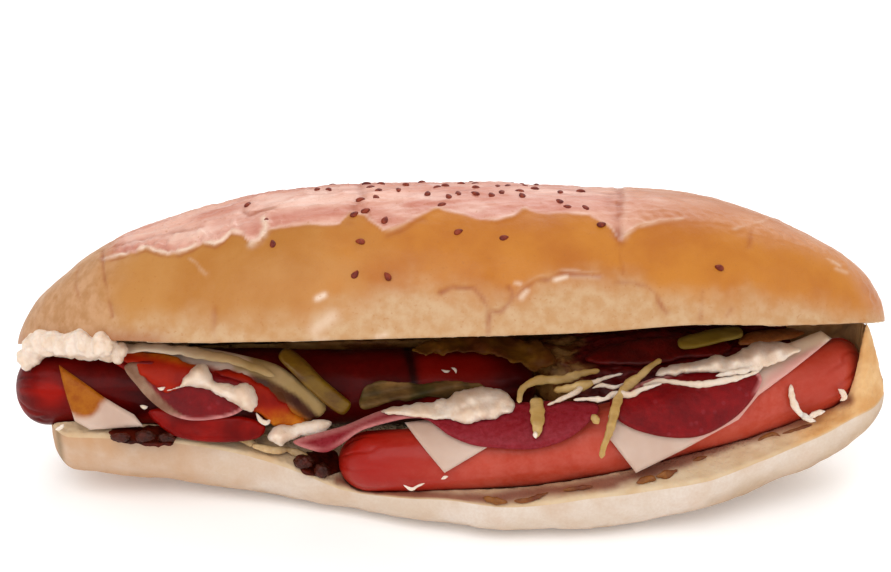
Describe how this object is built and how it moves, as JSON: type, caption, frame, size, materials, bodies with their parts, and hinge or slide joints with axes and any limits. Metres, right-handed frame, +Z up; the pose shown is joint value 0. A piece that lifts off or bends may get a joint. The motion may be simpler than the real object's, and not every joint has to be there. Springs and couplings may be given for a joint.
{
  "type": "submarine sandwich",
  "caption": "Long seeded bread roll split open at the front, filled with sausages, cheese slices, salami, pickles, salad shreds and cream.",
  "frame": {"origin": "on the surface that the roll stands on, under the middle of its length, on the flat of its base", "axes": "+X along the roll to the right as seen from its open side, -Y out of the open side, +Z up"},
  "size_m": [0.2846, 0.096, 0.1022],
  "materials": {
    "crust": "satin baked crust with sesame seeds",
    "crumb": "matte pale bread",
    "sausage": "smooth moist skin",
    "sausage_dark": "wet dark skin with sauce",
    "cheese": "smooth pale cheese",
    "salami": "greasy cured meat",
    "tomato": "wet red flesh",
    "cream": "soft glossy cream",
    "pickle": "wet olive green",
    "salad": "moist shaded leaves",
    "shred": "moist pale green",
    "onion": "moist pale stick",
    "bit": "moist dark brown"
  },
  "bodies": {
    "root": {"bun_top": "crust", "bun_bottom": "crumb", "sausage_left": "sausage_dark", "sausage_right": "sausage", "salad_heap": "salad", "cheese_left": "cheese", "cheese_upper_left": "cheese", "cheese_middle": "cheese", "cheese_right": "cheese", "salami_left": "salami", "salami_middle": "salami", "salami_right": "salami", "meat_inner": "salami", "ham_inner": "sausage", "tomato_left": "tomato", "cream_left": "cream", "cream_left_lumps": "cream", "cream_mid_left": "cream", "cream_middle": "cream", "cream_right": "cream", "pickle_left": "pickle", "pickle_right": "pickle", "lettuce_front": "salad", "lettuce_inner": "salad", "shred_arc": "shred", "shred_hanging": "shred", "shred_side": "shred", "shred_long": "shred", "shred_branch": "shred", "onion_stick": "onion", "bit_1": "bit", "bit_2": "bit", "bit_3": "bit", "bit_4": "bit", "bit_5": "bit"}
  },
  "joints": []
}
